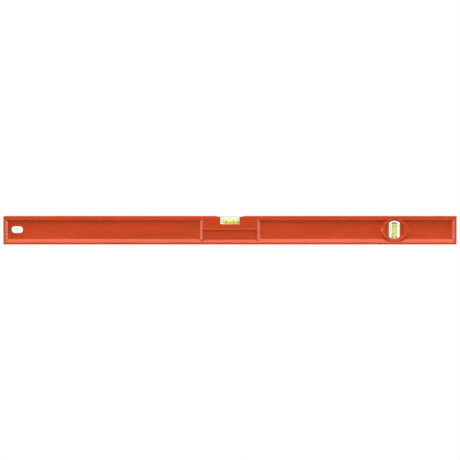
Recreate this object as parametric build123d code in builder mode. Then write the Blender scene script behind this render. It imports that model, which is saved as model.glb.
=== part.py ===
"""Moulded I-beam spirit level with a level vial read from the top and both sides, and a plumb vial.

Millimetres. X runs along the level, Y through its width and Z up. The origin is the middle of the
measuring base. The body is one moulding: two flanges, a web, end walls, a block round the level vial and
a round boss for the plumb vial, near the right end. Each vial is a clear acrylic block with a
barrel-shaped bore, a plug, a liquid, a bubble and two black gauge rings seated in grooves. The level
vial's block is bedded in cement in a pocket that is open at the top. The plumb vial's block is held
between two round holder halves that meet in the middle of the web.
"""

import os
from math import sqrt

from build123d import *

# ---- Overall section and length ----
LENGTH = 800.0
HEIGHT = 50.0
WIDTH = 20.0
WEB_THICKNESS = 11.0
TOP_LIP = 5.7  # flat side face of the top flange
TOP_SLOPE = 2.2  # height that its tapered underside takes from the lip to the web
BOTTOM_LIP = 3.6
BOTTOM_SLOPE = 6.2
END_LIP = 3.4
SIDE_SLOPE = 4.5  # taper, along X, of the end walls and of the centre block's sides
OUTER_ROUND = 0.8
LIP_ROUND = 1.3
FLOOR_ROUND = 1.2

# ---- Centre block ----
BLOCK_HALF_LENGTH = 48.5  # at its face
PANEL_TOP = 27.3  # height of the lower edge of the block's upper, full-width part
PANEL_DEPTH = 3.4  # how far the lower panel lies behind the block's face
PANEL_SLOPE = 3.4
PANEL_RIM = 0.9  # of the block's face left standing at each end of the panel
PLAQUE_LENGTH = 48.0
PLAQUE_HEIGHT = 9.0
PLAQUE_RELIEF = 0.5
PLAQUE_CORNER = 1.5

# ---- Plain raised tablet on the web ----
TABLET_LENGTH = 84.0
TABLET_HEIGHT = 16.0
TABLET_X = -121.5
TABLET_RELIEF = 0.6
TABLET_CORNER = 3.0
TABLET_BORDER = 1.6
TABLET_FIELD_DEPTH = 0.3

# ---- Hanging slot ----
SLOT_LENGTH = 20.8
SLOT_HEIGHT = 12.3
SLOT_FROM_END = 24.0
COLLAR_WIDTH = 2.5
COLLAR_RELIEF = 1.0
SLOT_ROUND = 0.4

# ---- Vial bore, the same in both blocks, and what is in it ----
BORE_RADIUS = 4.35  # at mid-length
BORE_BARREL = 0.1  # how much smaller the bore's radius is at its ends
PLUG_FACE = 12.3  # from the middle of the gauge lines to the plug
DOME_APEX = 13.3  # from the middle of the gauge lines to the top of the dome
DOME_HEIGHT = 3.0
PLUG_STEP = 0.25  # how much wider the plug is than the bore
NUB_RADIUS = 1.9  # filler nub on the plug's outer end
NUB_LENGTH = 0.6
GAUGE_SPACING = 12.0
GAUGE_WIDTH = 0.55
GAUGE_DEPTH = 0.25
SEAT_CLEARANCE = 0.05  # between pieces that are glued or sealed together
BUBBLE_CLEARANCE = 0.1
LEVEL_BUBBLE_HALF_LENGTH = 4.8
LEVEL_BUBBLE_RADIUS = 6.0  # of its underside, across the bore
LEVEL_BUBBLE_UNDERSIDE = 3.0  # above the bore's axis
LEVEL_BUBBLE_TRAVEL = 5.4  # each way from the middle
PLUMB_BUBBLE_LENGTH = 3.8
PLUMB_BUBBLE_RADIUS = 2.6
PLUMB_BUBBLE_ROUND = 1.7
PLUMB_BUBBLE_TOP_GAP = 0.35  # under the dome's highest point
PLUMB_LIQUID_FLOOR = 0.5  # liquid left under the plumb bubble at the plug

# ---- Level vial block, its pocket and its window ----
LEVEL_BLOCK_LENGTH = 38.0
LEVEL_BLOCK_HEIGHT = 14.4
LEVEL_BORE_BELOW_TOP = 7.45  # from the block's top down to the bore's axis
BLOCK_CORNER = 0.5
SCOOP_DEPTH = 1.2  # shallow relief in the top face, so that a straightedge clears the block
SCOOP_HALF_LENGTH = 24.8
SCOOP_RAMP = 2.4
POCKET_LIP = 2.0  # wall each side that keeps the block from coming out sideways
POCKET_END_GAP = 1.4
POCKET_SIDE_GAP = 0.15
CEMENT_THICKNESS = 0.5
CEMENT_MARGIN = 0.6  # how far the cement stays inside the block's outline
WINDOW_LENGTH = 34.8
WINDOW_SILL = 1.4  # how far the window's lower edge stands above the block's underside
SILL_BEVEL_HEIGHT = 1.0
SILL_BEVEL_DEPTH = 1.5

# ---- Plumb vial: boss, holder halves and block ----
PLUMB_FROM_END = 109.5
BOSS_WALL = 1.4  # round the holder, at the boss's face
BOSS_TAPER = 3.7  # how much wider the boss is at the web
BOSS_INSET = 0.3  # how far the boss's face lies behind the flanges' side faces
BOSS_EDGE = 0.4
HOLDER_FLANGE = 1.1  # how far the holder's rim stands out round its spigot
HOLDER_INSET = 0.1  # how far the holder's rim lies behind the flanges' side faces
HOLDER_CLEARANCE = 0.1
HOLDER_EDGE = 0.15
SPIGOT_WALL = 2.0  # round the block
DISH_EDGE = 0.6  # width of the holder's rim round its dish
DISH_TAPER = 2.0  # how much wider the dish is at its rim
DISH_DEPTH = 2.9
DISH_LIP = 1.3  # thickness of the dish's floor over the block
PLUMB_BLOCK_RADIUS = 16.4
PLUMB_BLOCK_HALF = 10.5
WINDOW_LIP = 0.6  # how far the holder reaches over the block's round ends
WINDOW_SIDE_LIP = 0.65
PEG_RADIUS = 1.3
PEG_LENGTH = 2.4
PEG_CLEARANCE = 0.1
NOTCH_CLEARANCE = 0.25  # round the filler nub

# ---- Worked out from the sizes above ----
OVERSHOOT = 1.0  # how far cutting shapes run past a face
MATCH = 1e-3  # how closely an edge's place must agree when it is picked
FACE_Y = WIDTH / 2
WEB_Y = WEB_THICKNESS / 2
RECESS_DEPTH = FACE_Y - WEB_Y
BOTTOM_ROOT = BOTTOM_LIP + BOTTOM_SLOPE
TOP_ROOT = HEIGHT - TOP_LIP - TOP_SLOPE
MID_WEB_Z = (BOTTOM_ROOT + TOP_ROOT) / 2
PANEL_Y = FACE_Y - PANEL_DEPTH
PANEL_BASE = BOTTOM_LIP + BOTTOM_SLOPE * PANEL_DEPTH / RECESS_DEPTH
PANEL_END = BLOCK_HALF_LENGTH - PANEL_RIM
SLOT_X = -LENGTH / 2 + SLOT_FROM_END
PLUMB_X = LENGTH / 2 - PLUMB_FROM_END

BORE_END_RADIUS = BORE_RADIUS - BORE_BARREL
PLUG_RADIUS = BORE_RADIUS + PLUG_STEP

LEVEL_TOP = HEIGHT - SCOOP_DEPTH
LEVEL_BLOCK_BASE = LEVEL_TOP - LEVEL_BLOCK_HEIGHT
LEVEL_AXIS_Z = LEVEL_TOP - LEVEL_BORE_BELOW_TOP
POCKET_LENGTH = LEVEL_BLOCK_LENGTH + 2 * POCKET_END_GAP
POCKET_WIDTH = WIDTH - 2 * POCKET_LIP
LEVEL_BLOCK_WIDTH = POCKET_WIDTH - 2 * POCKET_SIDE_GAP
POCKET_FLOOR = LEVEL_BLOCK_BASE - CEMENT_THICKNESS
WINDOW_BASE = LEVEL_BLOCK_BASE + WINDOW_SILL

SPIGOT_RADIUS = PLUMB_BLOCK_RADIUS + SPIGOT_WALL
HOLDER_RADIUS = SPIGOT_RADIUS + HOLDER_FLANGE
DISH_RIM_RADIUS = HOLDER_RADIUS - DISH_EDGE
DISH_FLOOR_RADIUS = DISH_RIM_RADIUS - DISH_TAPER
BOSS_FACE_RADIUS = HOLDER_RADIUS + BOSS_WALL
BOSS_BASE_RADIUS = BOSS_FACE_RADIUS + BOSS_TAPER
PLUMB_WINDOW_RADIUS = PLUMB_BLOCK_RADIUS - WINDOW_LIP
PLUMB_WINDOW_HALF = PLUMB_BLOCK_HALF - WINDOW_SIDE_LIP

HOLDER_Y = FACE_Y - HOLDER_INSET
DISH_FLOOR_Y = HOLDER_Y - DISH_DEPTH
PLUMB_BLOCK_Y = DISH_FLOOR_Y - DISH_LIP - SEAT_CLEARANCE
CELL_RADIUS = PLUMB_BLOCK_RADIUS + SEAT_CLEARANCE
CELL_HALF = PLUMB_BLOCK_HALF + SEAT_CLEARANCE
PEG_X = (CELL_HALF + SPIGOT_RADIUS) / 2

DOME_START = DOME_APEX - DOME_HEIGHT
LEVEL_PLUG_END = LEVEL_BLOCK_LENGTH / 2
PLUMB_PLUG_END = sqrt(PLUMB_BLOCK_RADIUS**2 - PLUG_RADIUS**2)
PLUMB_NUB_TIP = PLUMB_PLUG_END + NUB_LENGTH
PLUMB_BUBBLE_TOP = DOME_APEX - PLUMB_BUBBLE_TOP_GAP

# Bore frames: local X runs from the plug to the dome and local Y is across the bore.
LEVEL_BORE = Plane(origin=(0, 0, LEVEL_AXIS_Z), x_dir=(-1, 0, 0), z_dir=(0, 1, 0))
PLUMB_BORE = Plane(origin=(PLUMB_X, 0, MID_WEB_Z), x_dir=(0, 0, 1), z_dir=(0, -1, 0))


def side_plane(side, y, x=0.0, z=0.0):
    """A plane at distance y from the middle, facing out of that side: -1 is the front and 1 the back."""
    return Plane(origin=(x, side * y, z), x_dir=(-side, 0, 0), z_dir=(0, side, 0))


def plumb_plane(side, y):
    """A side plane whose origin is on the plumb vial's centre line."""
    return side_plane(side, y, PLUMB_X, MID_WEB_Z)


def across(bore, distance):
    """The plane square to a bore's axis, at a distance from the middle of its gauge lines."""
    return Plane(origin=bore.origin + bore.x_dir * distance, x_dir=bore.z_dir, z_dir=bore.x_dir)


def recess_cut(side, end):
    """One tapered side recess between an end wall and the centre block, with rounded inner corners."""
    past = OVERSHOOT / RECESS_DEPTH
    outer_y, inner_y = side * (FACE_Y + OVERSHOOT), side * WEB_Y
    wall = LENGTH / 2 - END_LIP
    with BuildPart() as cut:
        with BuildSketch(Plane.YZ):
            Polygon(
                (outer_y, BOTTOM_LIP - BOTTOM_SLOPE * past),
                (inner_y, BOTTOM_ROOT),
                (inner_y, TOP_ROOT),
                (outer_y, TOP_ROOT + TOP_SLOPE * (1 + past)),
                align=None,
            )
        extrude(amount=LENGTH / 2, both=True)
        with BuildSketch(Plane.XY):
            Polygon(
                (end * (BLOCK_HALF_LENGTH - SIDE_SLOPE * past), outer_y),
                (end * (BLOCK_HALF_LENGTH + SIDE_SLOPE), inner_y),
                (end * (wall - SIDE_SLOPE), inner_y),
                (end * (wall + SIDE_SLOPE * past), outer_y),
                align=None,
            )
        extrude(amount=HEIGHT, mode=Mode.INTERSECT)
        mitres = cut.edges().filter_by(lambda edge: abs((edge @ 1 - edge @ 0).Y) > RECESS_DEPTH)
        floor = cut.faces().sort_by(Axis.Y)[-1 if side < 0 else 0]
        fillet(mitres + floor.edges(), FLOOR_ROUND)
    return cut.part


def panel_cut(side):
    """The space in front of the centre block's lower panel, and the slope that runs on under its rims."""
    past = OVERSHOOT / PANEL_DEPTH
    outer_y, inner_y = side * (FACE_Y + OVERSHOOT), side * PANEL_Y
    slope_start = (outer_y, BOTTOM_LIP - BOTTOM_SLOPE * OVERSHOOT / RECESS_DEPTH)
    with BuildPart() as cut:
        with BuildSketch(Plane.YZ):
            Polygon(
                slope_start,
                (inner_y, PANEL_BASE),
                (inner_y, PANEL_TOP - PANEL_SLOPE),
                (outer_y, PANEL_TOP + PANEL_SLOPE * past),
                align=None,
            )
        extrude(amount=PANEL_END, both=True)
        floor = cut.faces().sort_by(Axis.Y)[-1 if side < 0 else 0]
        fillet(floor.edges().filter_by(Axis.X), FLOOR_ROUND)
        with BuildSketch(Plane.YZ):
            Polygon(slope_start, (inner_y, PANEL_BASE), (outer_y, PANEL_BASE), align=None)
        extrude(amount=BLOCK_HALF_LENGTH + SIDE_SLOPE, both=True)
    return cut.part


def boss():
    """Both sides of the tapered round boss, as one turned shape through the web, kept inside the flanges."""
    face = FACE_Y - BOSS_INSET
    with BuildPart() as shape:
        with BuildSketch(Plane(origin=(PLUMB_X, 0, MID_WEB_Z), z_dir=(0, 0, 1))):
            Polygon(
                (0, -face),
                (BOSS_FACE_RADIUS - BOSS_EDGE, -face),
                (BOSS_FACE_RADIUS, BOSS_EDGE - face),
                (BOSS_BASE_RADIUS, -WEB_Y),
                (BOSS_BASE_RADIUS, WEB_Y),
                (BOSS_FACE_RADIUS, face - BOSS_EDGE),
                (BOSS_FACE_RADIUS - BOSS_EDGE, face),
                (0, face),
                align=None,
            )
        revolve(axis=Axis((PLUMB_X, 0, MID_WEB_Z), (0, 1, 0)))
        with BuildSketch(Plane.XY.offset(BOTTOM_LIP)):
            with Locations((PLUMB_X, 0)):
                Rectangle(3 * BOSS_BASE_RADIUS, WIDTH)
        extrude(amount=HEIGHT - BOTTOM_LIP - TOP_LIP / 2, mode=Mode.INTERSECT)
    return shape.part


def double_d(radius, half_width):
    """A circle with its two sides cut off straight."""
    with BuildSketch() as outline:
        Circle(radius)
        Rectangle(2 * half_width, 2 * radius, mode=Mode.INTERSECT)
    return outline.sketch


def bore_space(bore, clearance):
    """The barrel-shaped bore with its domed end, smaller all round by a clearance."""
    radius, end_radius = BORE_RADIUS - clearance, BORE_END_RADIUS - clearance
    start, apex = clearance - PLUG_FACE, DOME_APEX - clearance
    rise = apex - DOME_START
    cap_radius = (end_radius**2 + rise**2) / (2 * rise)
    shoulder = (apex - cap_radius + sqrt(cap_radius**2 - end_radius**2 / 4), end_radius / 2)
    with BuildPart() as space:
        with BuildSketch(bore):
            with BuildLine():
                Polyline((apex, 0), (start, 0), (start, end_radius), (-DOME_START, end_radius))
                ThreePointArc((-DOME_START, end_radius), (0, radius), (DOME_START, end_radius))
                ThreePointArc((DOME_START, end_radius), shoulder, (apex, 0))
            make_face()
        revolve(axis=Axis(bore.origin, bore.x_dir))
    return space.part


def rod(bore, start, end, radius):
    """A round rod on a bore's axis."""
    with BuildPart() as shape:
        with BuildSketch(across(bore, start)):
            Circle(radius)
        extrude(amount=end - start)
    return shape.part


def gauge_ring(bore, place, clearance=0.0):
    """A gauge ring that lies in the bore's wall, or its groove when there is a clearance."""
    half = GAUGE_WIDTH / 2 + clearance
    with BuildPart() as shape:
        with BuildSketch(across(bore, place - half)):
            Circle(BORE_RADIUS + GAUGE_DEPTH + clearance)
            Circle(BORE_RADIUS - 2 * clearance, mode=Mode.SUBTRACT)
        extrude(amount=2 * half)
    return shape.part


def plug(bore, outer_end):
    """The plug that closes a bore, with the filler nub on its outer end."""
    with BuildPart() as shape:
        add(rod(bore, -outer_end, -PLUG_FACE, PLUG_RADIUS))
        add(rod(bore, -outer_end - NUB_LENGTH, -outer_end, NUB_RADIUS))
        tip = shape.edges().filter_by(GeomType.CIRCLE).sort_by(Axis(bore.origin, bore.x_dir))[0]
        fillet(tip, NUB_LENGTH / 3)
    return shape.part


def cut_vial(bore):
    """Cuts the bore, the plug's seat and the two ring grooves in the block that is being built."""
    add(bore_space(bore, 0), mode=Mode.SUBTRACT)
    add(rod(bore, -LEVEL_BLOCK_LENGTH, -PLUG_FACE, PLUG_RADIUS + SEAT_CLEARANCE), mode=Mode.SUBTRACT)
    for place in (-GAUGE_SPACING / 2, GAUGE_SPACING / 2):
        add(gauge_ring(bore, place, SEAT_CLEARANCE), mode=Mode.SUBTRACT)


# ---- Body moulding ----
with BuildPart() as level_body:
    Box(LENGTH, WIDTH, HEIGHT, align=(Align.CENTER, Align.CENTER, Align.MIN))
    fillet(level_body.edges(), OUTER_ROUND)
    for side in (-1, 1):
        for end in (-1, 1):
            add(recess_cut(side, end), mode=Mode.SUBTRACT)
        add(panel_cut(side), mode=Mode.SUBTRACT)
    side_edges = level_body.edges().filter_by(lambda edge: abs(abs(edge.center().Y) - FACE_Y) < MATCH)
    lips = side_edges.filter_by(lambda edge: 2 * OUTER_ROUND < edge.center().Z < HEIGHT - 2 * OUTER_ROUND)
    lips = lips.filter_by(lambda edge: abs(edge.center().X) < LENGTH / 2 - 2 * OUTER_ROUND)
    rims = lips.filter_by(lambda edge: PANEL_END - MATCH < abs(edge.center().X) < BLOCK_HALF_LENGTH - MATCH)
    fillet(lips - rims, LIP_ROUND)
    add(boss())

    # Collar and hanging slot
    with BuildSketch(side_plane(-1, 0, SLOT_X, MID_WEB_Z)):
        SlotOverall(SLOT_LENGTH + 2 * COLLAR_WIDTH, SLOT_HEIGHT + 2 * COLLAR_WIDTH)
    extrude(amount=WEB_Y + COLLAR_RELIEF, both=True)
    with BuildSketch(side_plane(-1, 0, SLOT_X, MID_WEB_Z)):
        SlotOverall(SLOT_LENGTH, SLOT_HEIGHT)
    extrude(amount=FACE_Y, both=True, mode=Mode.SUBTRACT)
    collar_y = WEB_Y + COLLAR_RELIEF
    collar_edges = level_body.edges().filter_by(lambda edge: abs(abs(edge.center().Y) - collar_y) < MATCH)
    fillet(collar_edges.filter_by(lambda edge: abs(edge.center().X - SLOT_X) < SLOT_LENGTH), SLOT_ROUND)

    # Plain plaque on the panel and plain tablet on the web, at the front
    with BuildSketch(side_plane(-1, PANEL_Y, 0, (PANEL_BASE + PANEL_TOP - PANEL_SLOPE) / 2)):
        RectangleRounded(PLAQUE_LENGTH, PLAQUE_HEIGHT, PLAQUE_CORNER)
    extrude(amount=PLAQUE_RELIEF)
    with BuildSketch(side_plane(-1, WEB_Y, TABLET_X, MID_WEB_Z)):
        RectangleRounded(TABLET_LENGTH, TABLET_HEIGHT, TABLET_CORNER)
    extrude(amount=TABLET_RELIEF)
    with BuildSketch(side_plane(-1, WEB_Y + TABLET_RELIEF, TABLET_X, MID_WEB_Z)):
        RectangleRounded(
            TABLET_LENGTH - 2 * TABLET_BORDER,
            TABLET_HEIGHT - 2 * TABLET_BORDER,
            TABLET_CORNER - TABLET_BORDER,
        )
    extrude(amount=-TABLET_FIELD_DEPTH, mode=Mode.SUBTRACT)

    # Scoop, pocket and window for the level vial
    with BuildSketch(Plane.XZ):
        Polygon(
            (-SCOOP_HALF_LENGTH - SCOOP_RAMP / SCOOP_DEPTH * OVERSHOOT, HEIGHT + OVERSHOOT),
            (SCOOP_RAMP - SCOOP_HALF_LENGTH, LEVEL_TOP),
            (SCOOP_HALF_LENGTH - SCOOP_RAMP, LEVEL_TOP),
            (SCOOP_HALF_LENGTH + SCOOP_RAMP / SCOOP_DEPTH * OVERSHOOT, HEIGHT + OVERSHOOT),
            align=None,
        )
    extrude(amount=WIDTH, both=True, mode=Mode.SUBTRACT)
    with BuildSketch(Plane.XY.offset(POCKET_FLOOR)):
        Rectangle(POCKET_LENGTH, POCKET_WIDTH)
    extrude(amount=HEIGHT, mode=Mode.SUBTRACT)
    with BuildSketch(Plane.XY.offset(WINDOW_BASE)):
        Rectangle(WINDOW_LENGTH, 2 * WIDTH)
    extrude(amount=HEIGHT, mode=Mode.SUBTRACT)
    for side in (-1, 1):
        with BuildSketch(Plane.YZ):
            Polygon(
                (side * (FACE_Y - SILL_BEVEL_DEPTH), WINDOW_BASE),
                (side * FACE_Y, WINDOW_BASE - SILL_BEVEL_HEIGHT),
                (side * (FACE_Y + OVERSHOOT), WINDOW_BASE - SILL_BEVEL_HEIGHT),
                (side * (FACE_Y + OVERSHOOT), WINDOW_BASE),
                align=None,
            )
        extrude(amount=WINDOW_LENGTH / 2, both=True, mode=Mode.SUBTRACT)

    # Stepped seat for the plumb vial's holder halves
    with BuildSketch(plumb_plane(-1, 0)):
        Circle(SPIGOT_RADIUS + HOLDER_CLEARANCE)
    extrude(amount=FACE_Y, both=True, mode=Mode.SUBTRACT)
    for side in (-1, 1):
        with BuildSketch(plumb_plane(side, WEB_Y)):
            Circle(HOLDER_RADIUS + HOLDER_CLEARANCE)
        extrude(amount=FACE_Y, mode=Mode.SUBTRACT)
level_body.part.label = "level_body"

# ---- Level vial ----
with BuildPart() as level_vial_block:
    with BuildSketch(Plane.XY.offset(LEVEL_BLOCK_BASE)):
        Rectangle(LEVEL_BLOCK_LENGTH, LEVEL_BLOCK_WIDTH)
    extrude(amount=LEVEL_BLOCK_HEIGHT)
    fillet(level_vial_block.edges().filter_by(Axis.Z), BLOCK_CORNER)
    cut_vial(LEVEL_BORE)
level_vial_block.part.label = "level_vial_block"

with BuildPart() as level_vial_cement:
    with BuildSketch(Plane.XY.offset(POCKET_FLOOR)):
        Rectangle(LEVEL_BLOCK_LENGTH - 2 * CEMENT_MARGIN, LEVEL_BLOCK_WIDTH - 2 * CEMENT_MARGIN)
    extrude(amount=CEMENT_THICKNESS)
level_vial_cement.part.label = "level_vial_cement"

with BuildPart() as level_vial_plug:
    add(plug(LEVEL_BORE, LEVEL_PLUG_END))
level_vial_plug.part.label = "level_vial_plug"

# The liquid leaves a flat-bottomed channel open over the bubble's whole travel.
with BuildPart() as level_vial_liquid:
    add(bore_space(LEVEL_BORE, SEAT_CLEARANCE))
    with BuildSketch(Plane.XY.offset(LEVEL_AXIS_Z + LEVEL_BUBBLE_UNDERSIDE - BUBBLE_CLEARANCE)):
        Rectangle(2 * (LEVEL_BUBBLE_TRAVEL + LEVEL_BUBBLE_HALF_LENGTH + BUBBLE_CLEARANCE), 3 * BORE_RADIUS)
    extrude(amount=2 * BORE_RADIUS, mode=Mode.SUBTRACT)
level_vial_liquid.part.label = "level_vial_liquid"

# The bubble is the part of a turned shape that lies inside the bore, against its upper wall.
with BuildPart() as level_vial_bubble:
    top, bottom = BORE_END_RADIUS - BUBBLE_CLEARANCE, LEVEL_BUBBLE_UNDERSIDE
    axis_height = bottom + LEVEL_BUBBLE_RADIUS
    with BuildSketch(LEVEL_BORE):
        with BuildLine():
            left, right = -LEVEL_BUBBLE_HALF_LENGTH, LEVEL_BUBBLE_HALF_LENGTH
            ThreePointArc((left, top), (0, bottom), (right, top))
            Polyline((right, top), (right, axis_height), (left, axis_height), (left, top))
        make_face()
    revolve(axis=Axis((0, 0, LEVEL_AXIS_Z + axis_height), (1, 0, 0)))
    add(rod(LEVEL_BORE, -PLUG_FACE, PLUG_FACE, top), mode=Mode.INTERSECT)
level_vial_bubble.part.label = "level_vial_bubble"

# ---- Plumb vial ----
with BuildPart() as plumb_vial_block:
    with BuildSketch(plumb_plane(-1, 0)):
        add(double_d(PLUMB_BLOCK_RADIUS, PLUMB_BLOCK_HALF))
    extrude(amount=PLUMB_BLOCK_Y, both=True)
    cut_vial(PLUMB_BORE)
plumb_vial_block.part.label = "plumb_vial_block"

with BuildPart() as plumb_vial_plug:
    add(plug(PLUMB_BORE, PLUMB_PLUG_END))
plumb_vial_plug.part.label = "plumb_vial_plug"

# The liquid leaves a round channel open over the bubble's whole travel.
with BuildPart() as plumb_vial_liquid:
    add(bore_space(PLUMB_BORE, SEAT_CLEARANCE))
    channel_radius = PLUMB_BUBBLE_RADIUS + BUBBLE_CLEARANCE
    channel = rod(PLUMB_BORE, PLUMB_LIQUID_FLOOR - PLUG_FACE, DOME_APEX, channel_radius)
    add(channel, mode=Mode.SUBTRACT)
plumb_vial_liquid.part.label = "plumb_vial_liquid"

with BuildPart() as plumb_vial_bubble:
    add(rod(PLUMB_BORE, PLUMB_BUBBLE_TOP - PLUMB_BUBBLE_LENGTH, PLUMB_BUBBLE_TOP, PLUMB_BUBBLE_RADIUS))
    fillet(plumb_vial_bubble.edges().filter_by(GeomType.CIRCLE), PLUMB_BUBBLE_ROUND)
plumb_vial_bubble.part.label = "plumb_vial_bubble"


def holder_half(side):
    """One half of the plumb vial's holder: spigot in the web, flange in the boss, cell and window."""
    with BuildPart() as half:
        with BuildSketch(plumb_plane(side, 0)):
            Circle(SPIGOT_RADIUS)
        extrude(amount=WEB_Y)
        with BuildSketch(plumb_plane(side, WEB_Y)):
            Circle(HOLDER_RADIUS)
        extrude(amount=HOLDER_Y - WEB_Y)
        with Locations(plumb_plane(side, DISH_FLOOR_Y)):
            Cone(
                DISH_FLOOR_RADIUS,
                DISH_RIM_RADIUS,
                DISH_DEPTH,
                align=(Align.CENTER, Align.CENTER, Align.MIN),
                mode=Mode.SUBTRACT,
            )
        rim = half.faces().sort_by(Axis.Y)[0 if side < 0 else -1]
        fillet(rim.edges(), HOLDER_EDGE)
        with BuildSketch(plumb_plane(side, 0)):
            add(double_d(CELL_RADIUS, CELL_HALF))
        extrude(amount=PLUMB_BLOCK_Y + SEAT_CLEARANCE, mode=Mode.SUBTRACT)
        with BuildSketch(plumb_plane(side, 0)):
            add(double_d(PLUMB_WINDOW_RADIUS, PLUMB_WINDOW_HALF))
            with Locations((0, -PLUMB_NUB_TIP - NOTCH_CLEARANCE)):
                Rectangle(
                    2 * (NUB_RADIUS + NOTCH_CLEARANCE), PLUMB_NUB_TIP, align=(Align.CENTER, Align.MIN)
                )
        extrude(amount=FACE_Y, mode=Mode.SUBTRACT)
        with BuildSketch(plumb_plane(side, 0)):
            with Locations((-PEG_X, 0), (PEG_X, 0)):
                Circle(PEG_RADIUS if side < 0 else PEG_RADIUS + PEG_CLEARANCE)
        if side < 0:
            extrude(amount=-PEG_LENGTH)
        else:
            extrude(amount=PEG_LENGTH + PEG_CLEARANCE, mode=Mode.SUBTRACT)
    return half.part


with BuildPart() as plumb_holder_front:
    add(holder_half(-1))
plumb_holder_front.part.label = "plumb_holder_front"

with BuildPart() as plumb_holder_rear:
    add(holder_half(1))
plumb_holder_rear.part.label = "plumb_holder_rear"


def gauge_ring_part(name, bore, place):
    """A finished gauge ring with its label."""
    with BuildPart() as ring:
        add(gauge_ring(bore, place))
    ring.part.label = name
    return ring.part


parts = [
    level_body.part,
    level_vial_block.part,
    level_vial_cement.part,
    level_vial_plug.part,
    level_vial_liquid.part,
    level_vial_bubble.part,
    gauge_ring_part("level_gauge_ring_left", LEVEL_BORE, GAUGE_SPACING / 2),
    gauge_ring_part("level_gauge_ring_right", LEVEL_BORE, -GAUGE_SPACING / 2),
    plumb_vial_block.part,
    plumb_vial_plug.part,
    plumb_vial_liquid.part,
    plumb_vial_bubble.part,
    gauge_ring_part("plumb_gauge_ring_upper", PLUMB_BORE, GAUGE_SPACING / 2),
    gauge_ring_part("plumb_gauge_ring_lower", PLUMB_BORE, -GAUGE_SPACING / 2),
    plumb_holder_front.part,
    plumb_holder_rear.part,
]

os.makedirs("parts", exist_ok=True)
for part in parts:
    export_step(part, f"parts/{part.label}.step")
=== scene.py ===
"""The looks of a moulded spirit level: satin plastic, clear vial blocks, tinted liquid and bubbles."""

import math

import bmesh
import bpy
import numpy as np
from bpy.props import FloatProperty, FloatVectorProperty, PointerProperty
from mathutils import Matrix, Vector


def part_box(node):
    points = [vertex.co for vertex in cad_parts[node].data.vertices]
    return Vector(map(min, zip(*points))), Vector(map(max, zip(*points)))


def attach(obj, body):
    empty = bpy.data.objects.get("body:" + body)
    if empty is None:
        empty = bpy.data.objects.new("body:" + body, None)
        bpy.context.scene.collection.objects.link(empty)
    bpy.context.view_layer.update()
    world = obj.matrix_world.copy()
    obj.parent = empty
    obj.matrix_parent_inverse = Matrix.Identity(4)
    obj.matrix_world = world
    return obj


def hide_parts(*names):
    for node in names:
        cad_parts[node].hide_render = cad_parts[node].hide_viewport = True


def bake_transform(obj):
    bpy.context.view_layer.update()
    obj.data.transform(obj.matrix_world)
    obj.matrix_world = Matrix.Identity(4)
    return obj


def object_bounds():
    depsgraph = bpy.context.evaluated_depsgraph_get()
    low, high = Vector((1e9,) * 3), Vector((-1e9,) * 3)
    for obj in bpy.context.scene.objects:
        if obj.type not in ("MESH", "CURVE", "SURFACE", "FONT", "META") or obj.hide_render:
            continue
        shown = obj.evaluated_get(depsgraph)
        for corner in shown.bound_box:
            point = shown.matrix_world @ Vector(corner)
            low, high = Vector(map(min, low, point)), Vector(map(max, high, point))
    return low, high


bl_info = {
    "name": "Spirit Level",
    "version": (1, 0, 0),
    "blender": (4, 5, 0),
    "location": "3D View > Sidebar > Spirit Level",
    "description": "Builds the finishes, vial contents and studio of a moulded spirit level",
    "category": "Object",
}

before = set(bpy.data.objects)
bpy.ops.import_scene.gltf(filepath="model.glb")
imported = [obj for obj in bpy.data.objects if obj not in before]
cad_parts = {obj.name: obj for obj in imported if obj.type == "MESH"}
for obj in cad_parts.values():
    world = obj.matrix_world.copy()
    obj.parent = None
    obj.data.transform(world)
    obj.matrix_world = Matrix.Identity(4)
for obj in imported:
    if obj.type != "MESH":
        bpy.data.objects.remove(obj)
CAD_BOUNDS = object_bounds()
MM = 0.001

ROOT_BODY = "frame"
LEVEL_BODY = "level_bubble"
PLUMB_BODY = "plumb_bubble"


def size_of(node):
    """Middle and extents of a CAD node's box."""
    low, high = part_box(node)
    return (low + high) / 2, high - low


CAD_MIDDLE = (Vector(CAD_BOUNDS[0]) + Vector(CAD_BOUNDS[1])) / 2
BLOCK_SIZE = size_of("level_vial_block")[1]
LEVEL_RING_MIDDLE, LEVEL_RING_SIZE = size_of("level_gauge_ring_left")
PLUMB_RING_MIDDLE = size_of("plumb_gauge_ring_upper")[0]
LEVEL_LOW, LEVEL_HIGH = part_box("level_vial_liquid")
PLUMB_LIQUID_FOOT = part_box("plumb_vial_liquid")[0].z

# The bore's wall lies one ring thickness inside the rings' outside.
RING_THICKNESS = 0.25 * MM
WALL_BITE = 0.02 * MM  # how far the liquid reaches into the wall, so that no film of air shows
BORE = LEVEL_RING_SIZE.z / 2 - RING_THICKNESS + WALL_BITE
DOME_RISE = 3.0 * MM
PLUG_BITE = 0.07 * MM  # how far the level vial's plug reaches into its seat's wall
NUB_LENGTH = 0.6 * MM
NUB_RADIUS = 1.9 * MM

TIP_BITE = 3.5 * WALL_BITE  # how far the level liquid's two ends reach into what closes them
BLOCK_HIDDEN = 1.6 * MM  # how much of each end of the level block the body covers
PIPED_LENGTH = 2.6 * MM  # at each end of the window, where the block is painted with some of the liquid's colour: a painted reflection of the liquid
PIPED_FADE = 1.2 * MM
BUBBLE_HALF = 4.75 * MM
BUBBLE_DEPTH = 1.3 * MM
BUBBLE_GAP = 0.03 * MM
BARREL = 0.1 * MM  # how much narrower the bore is at its ends, where the bubble must still fit
PLUMB_BUBBLE_HEIGHT = 3.2 * MM
PLUMB_TOP_GAP = 0.35 * MM  # from the CAD bubble up to the top of the dome
PLUMB_MENISCUS = 0.6 * MM  # how far the bubble's foot is hollowed
DOME_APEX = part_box("plumb_vial_bubble")[1].z + PLUMB_TOP_GAP

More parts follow.
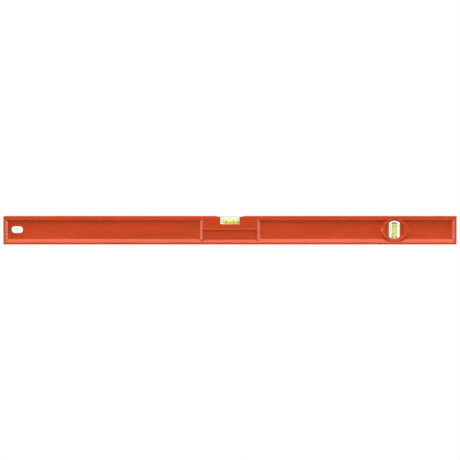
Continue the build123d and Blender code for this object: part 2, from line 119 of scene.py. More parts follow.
# ---- Studio ----
FLOOR_HALF = 6.0
FLOOR_DROP = 0.1 * MM
OVERHEAD_PLACE, OVERHEAD_SIZE = (0, -0.5, 1.4), (2.6, 1.4)
OVERHEAD_COLOUR = (1.0, 0.95, 0.72)
REAR_PLACE, REAR_SIZE = (0, 1.6, 1.4), (2.6, 1.0)
SIDE_DISTANCE, SIDE_FORWARD, SIDE_HEIGHT = 1.9, -0.25, 0.045
SIDE_SIZE = (0.9, 0.12)
AIM_LIFT = 0.3 * MM  # how far above the level's middle the camera aims
SENSOR_WIDTH = 36.0


# ---- Sizes and colours that a user would change ----
class SpiritLevelLooks(bpy.types.PropertyGroup):
    """Colours, finishes and light levels of the spirit level."""

    plastic: FloatVectorProperty(
        name="Plastic", description="Colour of the moulded body", subtype="COLOR", size=3, min=0, max=1,
        default=(0.605, 0.059, 0.009),
    )
    plastic_roughness: FloatProperty(
        name="Plastic roughness", description="Roughness of the moulded surface", subtype="FACTOR",
        min=0, max=1, default=0.26,
    )
    liquid: FloatVectorProperty(
        name="Liquid", description="Colour of the vial liquid", subtype="COLOR", size=3, min=0, max=1,
        default=(0.745, 0.775, 0.155),
    )
    # Liquid glow sets an emission: partly the liquid's fluorescence, partly painted light in place of lamp
    # light the clear block keeps from the liquid.
    liquid_glow: FloatProperty(
        name="Liquid glow", description="How strongly the fluorescent liquid lights up",
        min=0, max=2, default=0.50,
    )
    acrylic: FloatVectorProperty(
        name="Acrylic", description="Tint of the clear vial blocks", subtype="COLOR", size=3, min=0, max=1,
        default=(0.925, 0.935, 0.93),
    )
    grain_size: FloatProperty(
        name="Grain size", description="Size of the moulded grain", subtype="DISTANCE", unit="LENGTH",
        default=0.0007,
    )


class SpiritLevelStudio(bpy.types.PropertyGroup):
    """Camera distance and light levels."""

    camera_distance: FloatProperty(
        name="Camera distance", description="From the camera to the level", subtype="DISTANCE", unit="LENGTH",
        default=5.0,
    )
    camera_elevation: FloatProperty(
        name="Camera elevation", description="Height of the view above level", subtype="ANGLE",
        unit="ROTATION", default=math.radians(1.7),
    )
    view_width: FloatProperty(
        name="View width", description="Width of the view at the level", subtype="DISTANCE", unit="LENGTH",
        default=0.8133,
    )
    overhead: FloatProperty(name="Overhead softbox", description="Power of the light above", default=39.5)
    side: FloatProperty(name="Side softboxes", description="Power of the lights at the two ends", default=8.5)
    rear: FloatProperty(name="Rear softbox", description="Power of the light behind", default=1.5)
    ambient: FloatProperty(name="Ambient", description="Strength of the even light all round", default=0.42)
    sheen: FloatProperty(
        name="Front sheen", description="Brightness of the room that the front reflects", default=0.06
    )


def looks():
    return bpy.context.scene.spirit_level_looks


def studio():
    return bpy.context.scene.spirit_level_studio


# ---- Shader helpers ----
def link(tree, source, target):
    tree.links.new(source, target)


def node(tree, kind, **settings):
    """A node of a kind, with plain attributes set by name."""
    made = tree.nodes.new(kind)
    for name, value in settings.items():
        setattr(made, name, value)
    return made


def math_node(tree, operation, first, second=None, clamp=False):
    """One Math node; each input is a socket or a number."""
    made = node(tree, "ShaderNodeMath", operation=operation, use_clamp=clamp)
    for socket, value in zip(made.inputs, (first, second)):
        if value is None:
            continue
        if isinstance(value, (int, float)):
            socket.default_value = value
        else:
            link(tree, value, socket)
    return made.outputs[0]


def smooth_range(tree, value, low, high):
    """0 below low and 1 above high, with an S-curve between them; low may be above high."""
    made = node(tree, "ShaderNodeMapRange", interpolation_type="SMOOTHSTEP")
    link(tree, value, made.inputs["Value"])
    made.inputs["From Min"].default_value = low
    made.inputs["From Max"].default_value = high
    return made.outputs["Result"]


def mix_colour(tree, amount, first, second):
    """Mixes two colours, each a socket or an RGB triple."""
    made = node(tree, "ShaderNodeMix", data_type="RGBA")
    if isinstance(amount, (int, float)):
        made.inputs["Factor"].default_value = amount
    else:
        link(tree, amount, made.inputs["Factor"])
    colour_inputs = [s for s in made.inputs if s.type == "RGBA"]
    for socket, value in zip(colour_inputs, (first, second)):
        if isinstance(value, bpy.types.NodeSocket):
            link(tree, value, socket)
        else:
            socket.default_value = (*value, 1.0)
    return next(s for s in made.outputs if s.type == "RGBA")


def mix_shaders(tree, amount, first, second):
    """A Mix Shader between two shader sockets, by a socket."""
    made = node(tree, "ShaderNodeMixShader")
    for socket, value in zip(made.inputs, (amount, first, second)):
        link(tree, value, socket)
    return made.outputs["Shader"]


def noise(tree, vector, scale, detail=2.0, roughness=0.5):
    made = node(tree, "ShaderNodeTexNoise")
    if isinstance(scale, (int, float)):
        made.inputs["Scale"].default_value = scale
    else:
        link(tree, scale, made.inputs["Scale"])
    made.inputs["Detail"].default_value = detail
    made.inputs["Roughness"].default_value = roughness
    link(tree, vector, made.inputs["Vector"])
    return made.outputs["Fac"]


def new_group(name, inputs, outputs):
    """An empty shader node group with named float or colour sockets, and its two end nodes."""
    tree = bpy.data.node_groups.new(name, "ShaderNodeTree")
    for label, kind, value in inputs:
        socket = tree.interface.new_socket(name=label, in_out="INPUT", socket_type=kind)
        if value is not None:
            socket.default_value = value
    for label, kind in outputs:
        tree.interface.new_socket(name=label, in_out="OUTPUT", socket_type=kind)
    return tree, node(tree, "NodeGroupInput"), node(tree, "NodeGroupOutput")


def moulded_grain():
    """Fine spark grain and slow flow marks of a moulded face.

    Height is fine noise plus a little coarser noise; Tone is slow noise stretched along the moulding.
    """
    tree, given, out = new_group(
        "Moulded Grain",
        [("Grain Scale", "NodeSocketFloat", 1400.0)],
        [("Height", "NodeSocketFloat"), ("Tone", "NodeSocketFloat")],
    )
    coordinates = node(tree, "ShaderNodeTexCoord").outputs["Object"]
    fine = noise(tree, coordinates, given.outputs["Grain Scale"], detail=2.0)
    coarse = noise(tree, coordinates, 260.0, detail=3.0)
    link(tree, math_node(tree, "ADD", math_node(tree, "MULTIPLY", coarse, 0.6), fine), out.inputs["Height"])
    stretch = node(tree, "ShaderNodeMapping")
    stretch.inputs["Scale"].default_value = (0.25, 1.0, 1.0)
    link(tree, coordinates, stretch.inputs["Vector"])
    link(tree, noise(tree, stretch.outputs["Vector"], 34.0, detail=4.0, roughness=0.6), out.inputs["Tone"])
    return tree


def scuffs_and_painted_highlight():
    """Short scratches, rubbed edges where the side faces meet the top and the base, and a painted highlight
    along the lips.

    Edge is high where both |Y| is near the half width and Z is near the base or the top, broken up by noise.
    Scratch is the thin high band of a stretched noise. Painted Highlight is high on the rounded lips over the
    recesses,
    which face down and out: |Y| near the half width and the normal's Z between about -0.1 and -0.75. It is a
    painted highlight: it paints the pale line along them, which the lamps alone do not give.
    """
    tree, given, out = new_group(
        "Scuffs And Painted Highlight",
        [("Half Width", "NodeSocketFloat", 0.01), ("Height", "NodeSocketFloat", 0.05)],
        [("Edge", "NodeSocketFloat"), ("Scratch", "NodeSocketFloat"), ("Painted Highlight", "NodeSocketFloat")],
    )
    coordinates = node(tree, "ShaderNodeTexCoord").outputs["Object"]
    parts = node(tree, "ShaderNodeSeparateXYZ")
    link(tree, coordinates, parts.inputs["Vector"])
    sideways = math_node(tree, "ABSOLUTE", parts.outputs["Y"])
    beside = math_node(tree, "SUBTRACT", given.outputs["Half Width"], sideways)
    above = math_node(tree, "SUBTRACT", given.outputs["Height"], parts.outputs["Z"])
    near_face = math_node(tree, "MINIMUM", parts.outputs["Z"], above)
    corner = math_node(tree, "ADD", beside, near_face)
    edge = smooth_range(tree, corner, 1.5 * MM, 0.3 * MM)
    broken = smooth_range(tree, noise(tree, coordinates, 190.0, detail=5.0, roughness=0.65), 0.46, 0.66)
    link(tree, math_node(tree, "MULTIPLY", edge, broken), out.inputs["Edge"])
    turn = node(tree, "ShaderNodeMapping")
    turn.inputs["Scale"].default_value = (40.0, 300.0, 420.0)
    turn.inputs["Rotation"].default_value = (0.0, 0.22, 0.0)
    link(tree, coordinates, turn.inputs["Vector"])
    thin = smooth_range(tree, noise(tree, turn.outputs["Vector"], 1.0, detail=3.0, roughness=0.4), 0.68, 0.74)
    link(tree, thin, out.inputs["Scratch"])
    facing = node(tree, "ShaderNodeSeparateXYZ")
    link(tree, node(tree, "ShaderNodeNewGeometry").outputs["Normal"], facing.inputs["Vector"])
    # Painted highlight: this mask picks the down-facing rounded lips, which are painted pale in place of a
    # reflection.
    turned_down = math_node(
        tree,
        "MULTIPLY",
        smooth_range(tree, facing.outputs["Z"], -0.03, -0.16),
        smooth_range(tree, facing.outputs["Z"], -0.84, -0.66),
    )
    outermost = smooth_range(tree, beside, 1.0 * MM, 0.7 * MM)
    clear_of_base = smooth_range(tree, parts.outputs["Z"], 4.0 * MM, 6.0 * MM)
    link(
        tree,
        math_node(tree, "MULTIPLY", math_node(tree, "MULTIPLY", turned_down, outermost), clear_of_base),
        out.inputs["Painted Highlight"],
    )
    return tree


def settled_dust():
    """Dust that lies on faces that look up: the upward part of the normal, times a patchy noise."""
    tree, given, out = new_group(
        "Settled Dust", [("Patch Scale", "NodeSocketFloat", 90.0)], [("Mask", "NodeSocketFloat")]
    )
    facing = node(tree, "ShaderNodeSeparateXYZ")
    link(tree, node(tree, "ShaderNodeNewGeometry").outputs["Normal"], facing.inputs["Vector"])
    up = smooth_range(tree, facing.outputs["Z"], 0.5, 1.0)
    coordinates = node(tree, "ShaderNodeTexCoord").outputs["Object"]
    mottle = noise(tree, coordinates, given.outputs["Patch Scale"], detail=4.0)
    patches = smooth_range(tree, mottle, 0.42, 0.75)
    link(tree, math_node(tree, "MULTIPLY", up, patches), out.inputs["Mask"])
    return tree


def group_node(tree, make, **values):
    """A node that uses a shared group, which is built the first time, with its inputs set by name."""
    title = make.__name__.replace("_", " ").title()
    made = node(tree, "ShaderNodeGroup")
    made.node_tree = bpy.data.node_groups.get(title) or make()
    for name, value in values.items():
        made.inputs[name.replace("_", " ").title()].default_value = value
    return made


def new_material(name):
    """A material with only a Principled BSDF and its output."""
    material = bpy.data.materials.new(name)
    material.use_nodes = True
    tree = material.node_tree
    return material, tree, tree.nodes["Principled BSDF"]


def bumped(tree, shader, height, distance, strength=1.0):
    bump = node(tree, "ShaderNodeBump")
    bump.inputs["Distance"].default_value = distance
    bump.inputs["Strength"].default_value = strength
    link(tree, height, bump.inputs["Height"])
    link(tree, bump.outputs["Normal"], shader.inputs["Normal"])


def moulded_plastic(name):
    """Satin moulded plastic with grain, flow marks, rubbed edges, fine scratches, a trace of dust and a
    painted highlight along the lips.
    """
    material, tree, shader = new_material(name)
    base = tuple(looks().plastic)
    grain = group_node(tree, moulded_grain, grain_scale=1.0 / looks().grain_size)
    # Besides the wear masks, this group gives the mask of the painted highlight along the lips.
    scuffs = group_node(tree, scuffs_and_painted_highlight)
    dust = group_node(tree, settled_dust)
    darker = tuple(c * 0.93 for c in base)
    lighter = tuple(min(1.0, c * 1.05 + 0.002) for c in base)
    toned = mix_colour(tree, smooth_range(tree, grain.outputs["Tone"], 0.3, 0.7), darker, lighter)
    rubbed = tuple(min(1.0, c * 1.12 + 0.045) for c in base)
    wear_and_highlight = mix_colour(tree, math_node(tree, "MULTIPLY", scuffs.outputs["Edge"], 0.55), toned, rubbed)
    # polished is not wear: it is the colour of the painted highlight along the lips.
    polished = tuple(min(1.0, c * 1.35 + 0.075) for c in base)
    wear_and_highlight = mix_colour(tree, scuffs.outputs["Painted Highlight"], wear_and_highlight, polished)
    scratched = mix_colour(tree, math_node(tree, "MULTIPLY", scuffs.outputs["Scratch"], 0.12), wear_and_highlight, rubbed)
    dust_share = math_node(tree, "MULTIPLY", dust.outputs["Mask"], 0.04)
    dusty = mix_colour(tree, dust_share, scratched, (0.6, 0.55, 0.5))
    link(tree, dusty, shader.inputs["Base Color"])
    rough = looks().plastic_roughness
    varied = math_node(tree, "ADD", math_node(tree, "MULTIPLY", grain.outputs["Tone"], 0.10), rough - 0.05)
    scuffed = math_node(tree, "MULTIPLY", scuffs.outputs["Edge"], 0.18)
    link(tree, math_node(tree, "ADD", varied, scuffed, clamp=True), shader.inputs["Roughness"])
    shader.inputs["IOR"].default_value = 1.5
    shader.inputs["Specular IOR Level"].default_value = 0.38
    bumped(tree, shader, grain.outputs["Height"], 0.012 * MM, 0.5)
    return material


def clear_acrylic(name, tint, roughness, painted_reflection_from=None):
    """Polished acrylic with a faint haze in patches.

    Beyond painted_reflection_from, a distance each way along X, it is painted with some of the liquid's
    colour towards its ends: a painted reflection of the liquid's light carried along the block.
    """
    material, tree, shader = new_material(name)
    shader.inputs["Base Color"].default_value = (*tint, 1.0)
    if painted_reflection_from is not None:
        place = node(tree, "ShaderNodeSeparateXYZ")
        link(tree, node(tree, "ShaderNodeTexCoord").outputs["Object"], place.inputs["Vector"])
        outward = math_node(tree, "ABSOLUTE", place.outputs["X"])
        piped = smooth_range(tree, outward, painted_reflection_from, painted_reflection_from + PIPED_FADE)
        # Painted reflection: towards the ends the clear block is painted with the liquid's colour, in place
        # of the liquid's light carried along inside it.
        link(tree, mix_colour(tree, piped, tint, (0.75, 0.76, 0.60)), shader.inputs["Base Color"])
    shader.inputs["IOR"].default_value = 1.49
    shader.inputs["Transmission Weight"].default_value = 1.0
    coordinates = node(tree, "ShaderNodeTexCoord").outputs["Object"]
    haze = smooth_range(tree, noise(tree, coordinates, 240.0, detail=4.0), 0.55, 0.8)
    spread = math_node(tree, "ADD", math_node(tree, "MULTIPLY", haze, 0.05), roughness)
    link(tree, spread, shader.inputs["Roughness"])
    return material


def cloudy_plug(name):
    """Moulded plug: part clear and part milky, with soft streaks and a faint painted glow that lights it by
    itself, where little lamp light reaches it through the clear block.
    """
    material, tree, shader = new_material(name)
    coordinates = node(tree, "ShaderNodeTexCoord").outputs["Object"]
    streaks = smooth_range(tree, noise(tree, coordinates, 300.0, detail=3.0), 0.3, 0.7)
    colour = mix_colour(tree, streaks, (0.70, 0.69, 0.55), (0.84, 0.83, 0.68))
    link(tree, colour, shader.inputs["Base Color"])
    link(tree, colour, shader.inputs["Emission Color"])
    # Painted light: the plug glows though it is no lamp.
    shader.inputs["Emission Strength"].default_value = 0.22
    shader.inputs["Transmission Weight"].default_value = 0.45
    shader.inputs["Roughness"].default_value = 0.4
    shader.inputs["IOR"].default_value = 1.49
    return material


def fluorescent_liquid(name):
    """Tinted vial liquid: opaque, glossy, faintly clouded, and partly lit up by itself, by an emission that
    is partly the liquid's fluorescence and partly painted light standing in for the lamp light that the clear
    block keeps from it.
    """
    material, tree, shader = new_material(name)
    base = tuple(looks().liquid)
    coordinates = node(tree, "ShaderNodeTexCoord").outputs["Object"]
    cloud = smooth_range(tree, noise(tree, coordinates, 150.0, detail=2.0), 0.35, 0.65)
    colour = mix_colour(tree, cloud, tuple(c * 0.96 for c in base), tuple(min(1.0, c * 1.03) for c in base))
    link(tree, colour, shader.inputs["Base Color"])
    link(tree, colour, shader.inputs["Emission Color"])
    # Painted light in part: the liquid lights up by itself though it is no lamp.
    shader.inputs["Emission Strength"].default_value = looks().liquid_glow
    shader.inputs["Roughness"].default_value = 0.12
    shader.inputs["IOR"].default_value = 1.36
    return material


def air_bubble(name):
    """Air between the liquid and the top of its bore: clear, and it hardly bends light."""
    material, _, shader = new_material(name)
    shader.inputs["Base Color"].default_value = (1.0, 1.0, 1.0, 1.0)
    shader.inputs["Transmission Weight"].default_value = 1.0
    shader.inputs["IOR"].default_value = 1.01
    shader.inputs["Roughness"].default_value = 0.0
    return material


def dome_bubble(name, axis_x, apex, height):
    """Bubble in the domed end: painted light, pale inside, and painted dark reflection towards its outline,
    in place of how clear air bends the light, with a faint painted glow.

    The outline is where sqrt((x / radius)^2 + (z / height)^2), measured from the middle of the bubble's foot,
    comes near 1.
    """
    material, tree, shader = new_material(name)
    parts = node(tree, "ShaderNodeSeparateXYZ")
    link(tree, node(tree, "ShaderNodeTexCoord").outputs["Object"], parts.inputs["Vector"])
    aside = math_node(tree, "DIVIDE", math_node(tree, "SUBTRACT", parts.outputs["X"], axis_x), BORE)
    above = math_node(tree, "DIVIDE", math_node(tree, "SUBTRACT", parts.outputs["Z"], apex - height), height)
    squares = [math_node(tree, "MULTIPLY", value, value) for value in (aside, above)]
    outward = math_node(tree, "SQRT", math_node(tree, "ADD", *squares))
    rise = smooth_range(tree, outward, 0.5, 0.92)
    # Painted light and shade: pale in the middle and dark at the outline, in place of the light a clear
    # bubble lets through and the dark it reflects at its edge.
    colour = mix_colour(tree, rise, (0.62, 0.56, 0.36), (0.20, 0.12, 0.07))
    link(tree, colour, shader.inputs["Base Color"])
    link(tree, colour, shader.inputs["Emission Color"])
    # A painted glow: the bubble lights up though it is no lamp.
    shader.inputs["Emission Strength"].default_value = 0.25
    shader.inputs["Roughness"].default_value = 0.05
    return material


def gauge_black(name):
    """Matt black printed ring, a little uneven."""
    material, tree, shader = new_material(name)
    coordinates = node(tree, "ShaderNodeTexCoord").outputs["Object"]
    grain = noise(tree, coordinates, 2500.0, detail=2.0)
    colour = mix_colour(tree, grain, (0.010, 0.010, 0.010), (0.035, 0.034, 0.030))
    link(tree, colour, shader.inputs["Base Color"])
    shader.inputs["Roughness"].default_value = 0.6
    return material


def cured_cement(name):
    """Off-white cement with small voids."""
    material, tree, shader = new_material(name)
    coordinates = node(tree, "ShaderNodeTexCoord").outputs["Object"]
    lumps = noise(tree, coordinates, 900.0, detail=4.0)
    link(tree, mix_colour(tree, lumps, (0.66, 0.65, 0.60), (0.86, 0.86, 0.83)), shader.inputs["Base Color"])
    shader.inputs["Roughness"].default_value = 0.7
    bumped(tree, shader, lumps, 0.05 * MM)
    return material


def give(names, material):
    """Puts one material on CAD nodes."""
    for name in names:
        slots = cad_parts[name].data.materials
        slots.clear()
        slots.append(material)


# ---- Mesh helpers ----
def grid_faces(rows, columns, closed):
    """Quads between neighbouring rows of points; closed joins the last column to the first."""
    last = columns if closed else columns - 1
    row, column = np.meshgrid(np.arange(rows - 1), np.arange(last), indexing="ij")
    after = (column + 1) % columns
    low, high = row * columns, (row + 1) * columns
    return np.stack([low + column, low + after, high + after, high + column], -1).reshape(-1, 4)


def mesh_object(name, points, faces, material):
    """A smooth-shaded mesh object, in metres at its place, with doubles merged and normals outwards."""
    mesh = bpy.data.meshes.new(name)
    mesh.from_pydata(points.reshape(-1, 3).tolist(), [], faces.tolist())
    work = bmesh.new()
    work.from_mesh(mesh)
    bmesh.ops.remove_doubles(work, verts=work.verts, dist=1e-7)
    bmesh.ops.recalc_face_normals(work, faces=work.faces)
    work.to_mesh(mesh)
    work.free()
    mesh.polygons.foreach_set("use_smooth", np.ones(len(mesh.polygons), bool))
    mesh.materials.append(material)
    made = bpy.data.objects.new(name, mesh)
    bpy.context.scene.collection.objects.link(made)
    return made


def dome_radius(along, start, apex, radius):
    """Radius of a round-ended column: constant up to start, then a spherical cap that closes at apex."""
    rise = apex - start
    cap = (radius**2 + rise**2) / (2 * rise)
    inside = cap**2 - (np.maximum(along, start) - apex + cap) ** 2
    return np.where(along <= start, radius, np.sqrt(np.maximum(inside, 0.0)))


def bubble_floor(x):
    """Height of the bubble's underside over the bore's axis.

    The bore's radius less a depth that runs as a superellipse: depth * sqrt(1 - |x / half length| ^ 2.6).
    """
    share = np.clip(np.abs(x) / BUBBLE_HALF, 0.0, 1.0)
    return BORE - BUBBLE_DEPTH * np.sqrt(1.0 - share**2.6)


def liquid_half(name, end, tip, domed, material):
    """Half of the level vial's liquid, from the middle of the bubble to one end of the bore.

    Along X the points run from 0 to the end; round the axis the section is a circle whose top is cut down to
    the bubble's underside. The middle is left open, because the other half carries on from it.
    """
    span = abs(tip) + TIP_BITE
    near = BUBBLE_HALF * np.sin(np.linspace(0, math.pi / 2, 90))
    far = np.linspace(BUBBLE_HALF, span - DOME_RISE, 60)[1:]
    cap = span - DOME_RISE + DOME_RISE * np.sin(np.linspace(0, math.pi / 2, 40))[1:]
    if not domed:
        cap = np.linspace(span - DOME_RISE, span, 24)[1:]
    along = np.concatenate([near, far, cap])
    radius = dome_radius(along, span - DOME_RISE, span, BORE) if domed else np.full(len(along), BORE)
    if not domed:
        along = np.append(along, span)
        radius = np.append(radius, 0.0)
    angle = np.linspace(0, 2 * math.pi, 160, endpoint=False)
    x = np.repeat(along[:, None], len(angle), 1)
    y = radius[:, None] * np.cos(angle)
    z = radius[:, None] * np.sin(angle)
    floor = bubble_floor(x)
    z = np.where((x < BUBBLE_HALF) & (z > floor), floor, z)
    axis_z = LEVEL_RING_MIDDLE.z
    points = np.stack([end * x, y, z + axis_z], -1)
    return mesh_object(name, points, grid_faces(len(along), len(angle), True), material)


def air_lens(name, material):
    """The level bubble: the part of the bore above the bubble's underside, kept a small gap inside both.

    Points run along X and across Y; the upper sheet follows the bore, sqrt(r^2 - y^2), the lower the
    underside, and both reach Y = sqrt(r^2 - underside^2), where they meet.
    """
    radius = BORE - BARREL - 2 * WALL_BITE - BUBBLE_GAP
    x = (BUBBLE_HALF - 2 * BUBBLE_GAP) * np.sin(np.linspace(-math.pi / 2, math.pi / 2, 97))
    floor = np.minimum(bubble_floor(x) + BUBBLE_GAP, radius)
    half = np.sqrt(np.maximum(radius**2 - floor**2, 0.0))
    across = np.sin(np.linspace(-math.pi / 2, math.pi / 2, 49))
    y = half[:, None] * across
    top = np.sqrt(radius**2 - y**2)
    bottom = np.repeat(floor[:, None], len(across), 1)
    x = np.repeat(x[:, None], len(across), 1)
    axis_z = LEVEL_RING_MIDDLE.z
    upper = np.stack([x, y, top + axis_z], -1)
    lower = np.stack([x, y, bottom + axis_z], -1)
    loop = np.concatenate([upper, lower[:, ::-1]], 1)
    faces = grid_faces(loop.shape[0], loop.shape[1], True)
    made = mesh_object(name, loop, faces, material)
    made.data.set_sharp_from_angle(angle=math.radians(50))
    return made


def turned(name, axis_point, along, radii, material, segments=96, upright=True):
    """A turned solid: a profile of distances along an axis and radii, carried round in a circle.

    The axis is vertical through (X, Y), or when it isn't upright it runs along X through (Y, Z).
    """
    angle = np.linspace(0, 2 * math.pi, segments, endpoint=False)
    first = axis_point[0] + radii[:, None] * np.cos(angle)
    second = axis_point[1] + radii[:, None] * np.sin(angle)
    place = np.repeat(along[:, None], segments, 1)
    points = np.stack([first, second, place] if upright else [place, first, second], -1)
    return mesh_object(name, points, grid_faces(len(along), segments, True), material)


# ---- Operators, one for each piece or group of like pieces ----
class SPIRITLEVEL_OT_body(bpy.types.Operator):
    """Finish the moulded body and the plumb vial's holder halves"""

    bl_idname = "spirit_level.body"
    bl_label = "Body and Holder"

    def execute(self, context):
        give(["level_body"], moulded_plastic("body_plastic_satin"))
        give(["plumb_holder_front", "plumb_holder_rear"], moulded_plastic("holder_plastic_satin"))
        return {"FINISHED"}


class SPIRITLEVEL_OT_blocks(bpy.types.Operator):
    """Finish the clear vial blocks, the plumb vial's plug and the cement, and make the level vial's plug"""

    bl_idname = "spirit_level.blocks"
    bl_label = "Vial Blocks"

    def execute(self, context):
        tint = tuple(looks().acrylic)
        # Where the painted reflection of the liquid starts in the level block.
        painted_reflection_start = BLOCK_SIZE.x / 2 - BLOCK_HIDDEN - PIPED_LENGTH
        level_block = clear_acrylic("level_acrylic_polished", tint, 0.0, painted_reflection_from=painted_reflection_start)
        give(["level_vial_block"], level_block)
        give(["plumb_vial_block"], clear_acrylic("plumb_acrylic_polished", tint, 0.0))
        plastic = cloudy_plug("plug_cloudy")
        give(["plumb_vial_plug"], plastic)
        low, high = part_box("level_vial_plug")
        radius = (high.z - low.z) / 2 + PLUG_BITE
        shoulder = high.x - NUB_LENGTH
        along = np.array([low.x, low.x, shoulder, shoulder, high.x, high.x])
        radii = np.array([0, radius, radius, NUB_RADIUS, NUB_RADIUS, 0])
        plug = turned("level_plug", (0, LEVEL_RING_MIDDLE.z), along, radii, plastic, upright=False)
        plug.data.set_sharp_from_angle(angle=math.radians(40))
        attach(plug, ROOT_BODY)
        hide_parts("level_vial_plug")
        give(["level_vial_cement"], cured_cement("vial_cement_cured"))
        return {"FINISHED"}


class SPIRITLEVEL_OT_rings(bpy.types.Operator):
    """Finish the four gauge rings"""

    bl_idname = "spirit_level.rings"
    bl_label = "Gauge Rings"

    def execute(self, context):
        rings = [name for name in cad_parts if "gauge_ring" in name]
        give(rings, gauge_black("gauge_ring_black"))
        return {"FINISHED"}


class SPIRITLEVEL_OT_level_contents(bpy.types.Operator):
    """Make the level vial's liquid, shaped round its bubble at rest, and the bubble"""

    bl_idname = "spirit_level.level_contents"
    bl_label = "Level Vial Contents"

    def execute(self, context):
        liquid = fluorescent_liquid("level_liquid_tinted")
        ends = (("level_liquid_left", -1, LEVEL_LOW.x, True), ("level_liquid_right", 1, LEVEL_HIGH.x, False))
        for name, end, tip, domed in ends:
            half = liquid_half(name, end, tip, domed, liquid)
            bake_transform(half)
            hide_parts("level_vial_liquid")
        bubble = air_lens("level_air_bubble", air_bubble("level_air"))
        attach(bubble, LEVEL_BODY)
        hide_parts("level_vial_bubble")
        return {"FINISHED"}


class SPIRITLEVEL_OT_plumb_contents(bpy.types.Operator):
    """Make the plumb vial's liquid and the bubble in its domed top"""

    bl_idname = "spirit_level.plumb_contents"
    bl_label = "Plumb Vial Contents"

    def execute(self, context):
        axis = (PLUMB_RING_MIDDLE.x, PLUMB_RING_MIDDLE.y)
        apex = DOME_APEX
        dome_start = apex - DOME_RISE
        bottom = PLUMB_LIQUID_FOOT
        rise = np.sin(np.linspace(0, math.pi / 2, 32))
        walls = np.concatenate([[bottom, bottom], np.linspace(bottom, dome_start, 24)[1:]])
        heights = np.concatenate([walls, dome_start + DOME_RISE * rise[1:]])
        radii = dome_radius(heights, dome_start, apex, BORE)
        radii[0] = 0.0
        liquid = turned("plumb_liquid", axis, heights, radii, fluorescent_liquid("plumb_liquid_tinted"))
        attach(liquid, ROOT_BODY)
        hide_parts("plumb_vial_liquid")

        # In the dome the bubble stands a hair proud of the liquid and hides it. Slid down, all but its foot
        # is inside the liquid and does not show.
        proud = 2 * WALL_BITE
        foot = apex - PLUMB_BUBBLE_HEIGHT
        bowl = np.linspace(0, 1, 16)
        under_heights = foot + PLUMB_MENISCUS * (1 - bowl**2)
        under_radii = (BORE + proud) * bowl
        wall_heights = np.linspace(foot, dome_start, 6)[1:]
        side_heights = np.concatenate([wall_heights, dome_start + DOME_RISE * rise[1:]])
        side_radii = dome_radius(side_heights, dome_start, apex, BORE) + proud
        side_radii[-1] = 0.0
        heights = np.concatenate([under_heights, side_heights])
        radii = np.concatenate([under_radii, side_radii])
        material = dome_bubble("plumb_air", axis[0], apex, PLUMB_BUBBLE_HEIGHT)
        bubble = turned("plumb_air_bubble", axis, heights, radii, material)
        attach(bubble, PLUMB_BODY)
        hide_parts("plumb_vial_bubble")
        return {"FINISHED"}


class SPIRITLEVEL_OT_stage(bpy.types.Operator):
    """Set up the floor, the surroundings, the lights and the camera"""

    bl_idname = "spirit_level.stage"
    bl_label = "Studio"

    def execute(self, context):
        scene = context.scene
        scene.view_settings.view_transform = "Standard"
        make_world(scene)
        make_floor()
        softbox("overhead_softbox", OVERHEAD_PLACE, OVERHEAD_SIZE, studio().overhead, OVERHEAD_COLOUR)
        softbox("rear_softbox", REAR_PLACE, REAR_SIZE, studio().rear)
        for end, name in ((-1, "left_softbox"), (1, "right_softbox")):
            softbox(name, (end * SIDE_DISTANCE, SIDE_FORWARD, SIDE_HEIGHT), SIDE_SIZE, studio().side)
        make_camera(scene)
        return {"FINISHED"}


def seen_directly(tree):
    """1 for rays that come from the camera, straight or through clear plastic, and 0 for all others."""
    paths = node(tree, "ShaderNodeLightPath").outputs
    return math_node(tree, "MAXIMUM", paths["Is Camera Ray"], paths["Is Transmission Ray"])


def make_world(scene):
    """White to look at and through, an even light on the object, and a dark room in its reflections.

    Glossy rays see a room far darker than the white background, and darkest at the front.
    """
    scene.world = bpy.data.worlds.new("studio_world")
    scene.world.use_nodes = True
    tree = scene.world.node_tree
    tree.nodes.clear()
    backgrounds = [node(tree, "ShaderNodeBackground") for _ in range(3)]
    for background in backgrounds:
        background.inputs["Color"].default_value = (1, 1, 1, 1)
    lit, mirrored, shown = backgrounds
    lit.inputs["Strength"].default_value = studio().ambient
    way = node(tree, "ShaderNodeSeparateXYZ")
    link(tree, node(tree, "ShaderNodeTexCoord").outputs["Generated"], way.inputs["Vector"])
    behind = math_node(tree, "MULTIPLY", smooth_range(tree, way.outputs["Y"], -0.5, 0.3), 0.15)
    link(tree, math_node(tree, "MAXIMUM", behind, studio().sheen), mirrored.inputs["Strength"])
    paths = node(tree, "ShaderNodeLightPath").outputs
    parts = (lit.outputs["Background"], mirrored.outputs["Background"], shown.outputs["Background"])
    room = mix_shaders(tree, paths["Is Glossy Ray"], parts[0], parts[1])
    room = mix_shaders(tree, seen_directly(tree), room, parts[2])
    link(tree, room, node(tree, "ShaderNodeOutputWorld").inputs["Surface"])


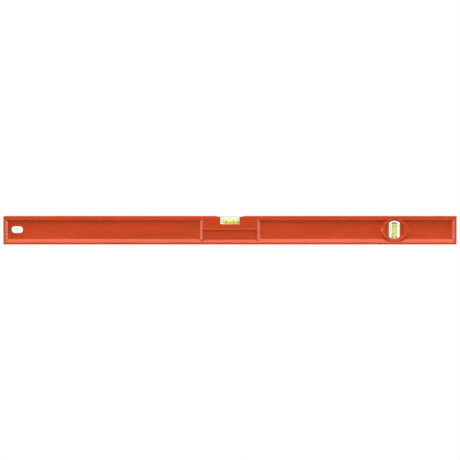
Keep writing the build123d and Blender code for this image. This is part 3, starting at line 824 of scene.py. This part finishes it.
def make_floor():
    """A plain pale floor that keeps the level's shadow and looks nearly white.

    Glossy rays see it dark beyond the level's surroundings, and diffuse rays see it at half its brightness.
    """
    half = FLOOR_HALF
    corners = np.array([(-half, -half, 0), (half, -half, 0), (half, half, 0), (-half, half, 0)], float)
    corners[:, 2] = CAD_BOUNDS[0][2] - FLOOR_DROP
    material, tree, shader = new_material("studio_floor")
    shader.inputs["Base Color"].default_value = (0.86, 0.86, 0.86, 1)
    shader.inputs["Roughness"].default_value = 0.9
    shader.inputs["Specular IOR Level"].default_value = 0.1
    glow = node(tree, "ShaderNodeEmission")
    place = node(tree, "ShaderNodeSeparateXYZ")
    link(tree, node(tree, "ShaderNodeTexCoord").outputs["Object"], place.inputs["Vector"])
    beyond = math_node(tree, "MAXIMUM", math_node(tree, "ABSOLUTE", place.outputs["X"]), CAD_BOUNDS[1][0])
    beyond = math_node(tree, "SUBTRACT", beyond, CAD_BOUNDS[1][0])
    away = math_node(tree, "MAXIMUM", beyond, math_node(tree, "ABSOLUTE", place.outputs["Y"]))
    fading = math_node(tree, "MULTIPLY", smooth_range(tree, away, 0.0, 0.35), 0.2)
    plain_white = math_node(tree, "ADD", 0.8, fading)
    share = math_node(tree, "MULTIPLY", seen_directly(tree), plain_white)
    dark = node(tree, "ShaderNodeEmission")
    dark.inputs["Strength"].default_value = studio().sheen
    paths = node(tree, "ShaderNodeLightPath").outputs
    far = math_node(tree, "MULTIPLY", paths["Is Glossy Ray"], smooth_range(tree, away, 0.15, 0.45))
    bounced = math_node(tree, "MULTIPLY", paths["Is Diffuse Ray"], 0.5)
    dimmed = math_node(tree, "MAXIMUM", far, bounced)
    lit = mix_shaders(tree, dimmed, shader.outputs["BSDF"], dark.outputs["Emission"])
    surface = mix_shaders(tree, share, lit, glow.outputs["Emission"])
    link(tree, surface, tree.nodes["Material Output"].inputs["Surface"])
    floor = mesh_object("studio_floor", corners, np.array([[0, 1, 2, 3]]), material)


def aim(made, place, target):
    """Puts an object at a place and points its -Z at a target."""
    made.location = place
    made.rotation_euler = (Vector(target) - Vector(place)).to_track_quat("-Z", "Y").to_euler()


def softbox(name, place, size, power, colour=(1.0, 1.0, 1.0)):
    """A rectangular lamp at a place, aimed at the middle of the level."""
    light = bpy.data.lights.new(name, "AREA")
    light.color = colour
    light.shape = "RECTANGLE"
    light.size, light.size_y = size
    light.energy = power
    made = bpy.data.objects.new(name, light)
    bpy.context.scene.collection.objects.link(made)
    aim(made, place, (0, 0, CAD_MIDDLE.z))


def make_camera(scene):
    """A long lens, square to the level's front and a little above it."""
    data = bpy.data.cameras.new("camera")
    made = bpy.data.objects.new("camera", data)
    scene.collection.objects.link(made)
    distance, elevation = studio().camera_distance, studio().camera_elevation
    target = Vector((0, 0, CAD_MIDDLE.z + AIM_LIFT))
    place = target + Vector((0, -math.cos(elevation), math.sin(elevation))) * distance
    aim(made, place, target)
    data.sensor_width = SENSOR_WIDTH
    data.lens = data.sensor_width * distance / studio().view_width
    data.clip_end = 100.0
    scene.camera = made


class SPIRITLEVEL_PT_panel(bpy.types.Panel):
    """Lists the spirit level's operators and settings"""

    bl_label = "Spirit Level"
    bl_idname = "SPIRITLEVEL_PT_panel"
    bl_space_type = "VIEW_3D"
    bl_region_type = "UI"
    bl_category = "Spirit Level"

    def draw(self, context):
        for group in (context.scene.spirit_level_looks, context.scene.spirit_level_studio):
            column = self.layout.column()
            for name in group.bl_rna.properties.keys():
                if name not in ("rna_type", "name"):
                    column.prop(group, name)
        for operator in OPERATORS:
            self.layout.operator(operator.bl_idname)


OPERATORS = (
    SPIRITLEVEL_OT_body,
    SPIRITLEVEL_OT_blocks,
    SPIRITLEVEL_OT_rings,
    SPIRITLEVEL_OT_level_contents,
    SPIRITLEVEL_OT_plumb_contents,
    SPIRITLEVEL_OT_stage,
)
CLASSES = (SpiritLevelLooks, SpiritLevelStudio, *OPERATORS, SPIRITLEVEL_PT_panel)


def register():
    for made in CLASSES:
        bpy.utils.register_class(made)
    bpy.types.Scene.spirit_level_looks = PointerProperty(type=SpiritLevelLooks)
    bpy.types.Scene.spirit_level_studio = PointerProperty(type=SpiritLevelStudio)


def unregister():
    del bpy.types.Scene.spirit_level_studio
    del bpy.types.Scene.spirit_level_looks
    for made in reversed(CLASSES):
        bpy.utils.unregister_class(made)


def main():
    register()
    for operator in OPERATORS:
        group, name = operator.bl_idname.split(".")
        getattr(getattr(bpy.ops, group), name)()


if __name__ == "__main__":
    main()
